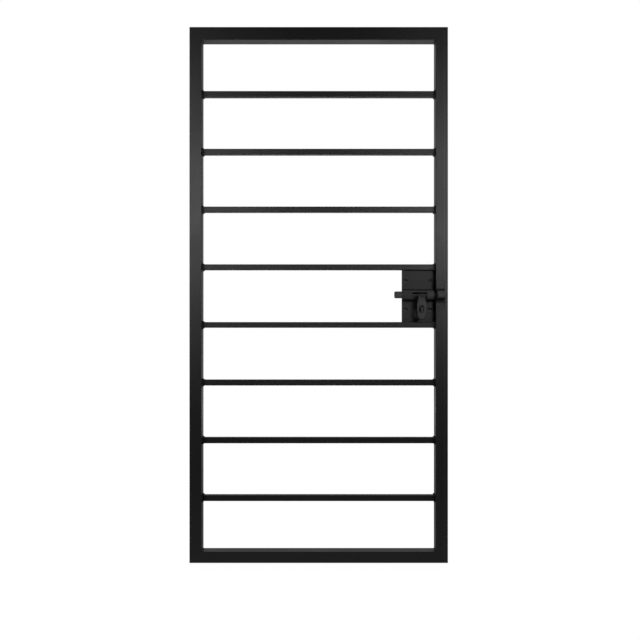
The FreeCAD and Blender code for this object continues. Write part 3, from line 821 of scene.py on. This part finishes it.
doorFront = (cadBox[0] + cadBox[1]) / 2.0  # the middle of the frame's front face
doorFront.y = hingeLow[1] * mm
white = (1.0, 1.0, 1.0)
floorLook = {"drop": 0.012, "innerRadius": 0.02, "radius": 5.0, "rings": 24, "spokes": 64,
             "colour": (0.12, 0.12, 0.12), "paler": 1.1, "grainScale": 30.0,
             "roughness": 0.9, "gloss": 0.1, "cameraGlow": 0.98,
             "stripRange": (0.3, 2.4), "stripGlow": (3.6, 0.2), "behindRange": (2.2, 5.0),
             "beforeRange": (-1.6, -0.5), "beforeGlow": 0.3}


# Floor: a disc, rings of growing radius round the door's foot. The camera sees it white. The door
# sees a dim floor with a soft glow before it, and a strip of stronger glow far behind it.
def makeFloor(look):
    rings = np.linspace(look["innerRadius"], look["radius"], look["rings"])
    theta = np.arange(look["spokes"]) / look["spokes"] * fullTurn
    x = doorFront.x + rings[:, None] * np.cos(theta)[None, :]
    y = rings[:, None] * np.sin(theta)[None, :]
    z = np.full(x.shape, -look["drop"])
    grid = np.stack([x, y, z], axis=-1)
    quads, caps = gridFaces(grid.shape[:2], False)
    mesh = bpy.data.meshes.new("studio_floor")
    mesh.from_pydata(grid.reshape(-1, 3).tolist(), [], quads.tolist() + caps[:1])
    floor = bpy.data.objects.new("studio_floor", mesh)
    bpy.context.collection.objects.link(floor)
    material = bpy.data.materials.new("paleFloor")
    material.use_nodes = True
    tree = material.node_tree
    shader = tree.nodes["Principled BSDF"]
    place = tree.nodes.new("ShaderNodeTexCoord").outputs["Object"]
    rays = tree.nodes.new("ShaderNodeLightPath")
    grain = noiseNode(tree, place, look["grainScale"], cloudNoise["detail"], cloudNoise["roughness"])
    tint = rangeNode(tree, grain, cloudNoise["range"])
    paler = tuple(level * look["paler"] for level in look["colour"])
    tree.links.new(mixColour(tree, tint, look["colour"], paler), shader.inputs["Base Color"])
    shader.inputs["Roughness"].default_value = look["roughness"]
    shader.inputs["Specular IOR Level"].default_value = look["gloss"]
    parts = splitNode(tree, place)
    sideways = mathNode(tree, "ABSOLUTE", mathNode(tree, "SUBTRACT", parts[xPart], doorFront.x))
    strip = rangeNode(tree, sideways, look["stripRange"], look["stripGlow"])
    behind = rangeNode(tree, parts[yPart], look["behindRange"], (0.0, strip))
    before = rangeNode(tree, parts[yPart], look["beforeRange"], (0.0, look["beforeGlow"]))
    bounce = mathNode(tree, "MAXIMUM", before, behind)
    glow = rangeNode(tree, rays.outputs["Is Camera Ray"], (0.0, 1.0), (bounce, look["cameraGlow"]))
    feed(tree, white, shader.inputs["Emission Color"])
    tree.links.new(glow, shader.inputs["Emission Strength"])
    mesh.materials.append(material)


roomLook = {"front": 0.11, "ceiling": 0.03, "ceilingRange": (0.35, 0.9), "back": 0.5,
            "backRange": (0.0, 0.6), "cameraGlow": 1.0}


# World: white behind for the camera; the paint sees a dim room in front and a paler one behind.
def makeWorld(look):
    world = bpy.data.worlds.new("studioWorld")
    bpy.context.scene.world = world
    world.use_nodes = True
    tree = world.node_tree
    background = tree.nodes["Background"]
    where = tree.nodes.new("ShaderNodeTexCoord")
    rays = tree.nodes.new("ShaderNodeLightPath")
    parts = splitNode(tree, where.outputs["Generated"])
    ceiling = rangeNode(tree, parts[zPart], look["ceilingRange"], (look["front"], look["ceiling"]))
    behind = rangeNode(tree, parts[yPart], look["backRange"], (0.0, look["back"]))
    room = mathNode(tree, "ADD", ceiling, behind)
    strength = rangeNode(tree, rays.outputs["Is Camera Ray"], (0.0, 1.0), (room, look["cameraGlow"]))
    tree.links.new(strength, background.inputs["Strength"])
    feed(tree, white, background.inputs["Color"])


sideBox = {"size": (0.6, 0.6), "power": 1.86, "grid": 32.5, "away": 3.1, "out": 1.06, "rise": 0.78,
           "aimOut": 0.75, "aimRise": 0.395}
fillBox = {"size": (0.25, 0.6), "power": 0.1, "grid": 18.0, "away": 3.1, "out": 0.0, "rise": 0.3,
           "aimOut": 0.0, "aimRise": -0.2}


# A soft box with a grid that narrows its light, in degrees. It is placed and aimed by distances
# from the middle of the door's front; side is 1 to the right and -1 to the left.
def makeSoftbox(name, look, side):
    light = bpy.data.lights.new(name, "AREA")
    light.shape = "RECTANGLE"
    light.size, light.size_y = look["size"]
    light.energy = look["power"]
    light.spread = math.radians(look["grid"])
    lamp = bpy.data.objects.new(name, light)
    bpy.context.collection.objects.link(lamp)
    lamp.location = doorFront + Vector((side * look["out"], -look["away"], look["rise"]))
    target = doorFront + Vector((side * look["aimOut"], 0.0, look["aimRise"]))
    lamp.rotation_euler = (target - lamp.location).to_track_quat("-Z", "Y").to_euler()
    lamp.visible_camera = False


makeFloor(floorLook)
makeWorld(roomLook)
makeSoftbox("softbox_left", sideBox, -1.0)
makeSoftbox("softbox_right", sideBox, 1.0)
makeSoftbox("softbox_middle", fillBox, 1.0)

shot = {"distance": 2.45, "mmPerPixel": 3.7887, "pixels": 640, "right": 0.005, "drop": 0.0947,
        "sensor": 36.0, "tilt": 90.0, "clipEnd": 60.0}  # a tilt of 90 degrees looks level
cameraData = bpy.data.cameras.new("shotCamera")
cameraData.sensor_width = shot["sensor"]
cameraData.lens = shot["sensor"] * shot["distance"] / (shot["mmPerPixel"] * mm * shot["pixels"])
cameraData.clip_end = shot["clipEnd"]
camera = bpy.data.objects.new("shotCamera", cameraData)
bpy.context.collection.objects.link(camera)
camera.location = doorFront + Vector((shot["right"], -shot["distance"], -shot["drop"]))
camera.rotation_euler = (math.radians(shot["tilt"]), 0.0, 0.0)
bpy.context.scene.camera = camera
bpy.context.scene.view_settings.view_transform = "Standard"
print("studio and camera set, lens", round(cameraData.lens, 2))
